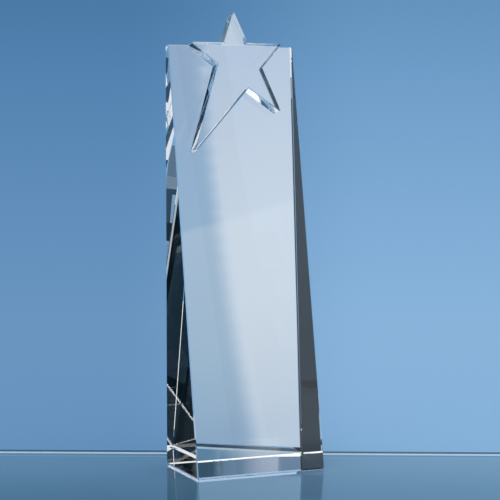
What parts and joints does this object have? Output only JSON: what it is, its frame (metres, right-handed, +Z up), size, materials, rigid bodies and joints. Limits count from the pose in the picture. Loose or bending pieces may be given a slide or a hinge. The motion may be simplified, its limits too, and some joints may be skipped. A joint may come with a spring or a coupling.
{
  "type": "star trophy",
  "caption": "Clear crystal award: a tall wedge-shaped column with a leaning front and a flat uneven star plate bonded to it, its top point above the column.",
  "frame": {"origin": "middle of the base, on the surface the trophy stands on", "axes": "+Z up, +Y from the leaning front towards the upright back, +X to the right of someone facing the star"},
  "size_m": [0.075, 0.0478, 0.2515],
  "materials": {
    "column_crystal": "polished optical crystal",
    "star_crystal": "polished optical crystal",
    "clear_adhesive": "clear, cured between polished faces"
  },
  "bodies": {
    "root": {"column": "column_crystal", "star": "star_crystal", "bond_film": "clear_adhesive"}
  },
  "joints": []
}
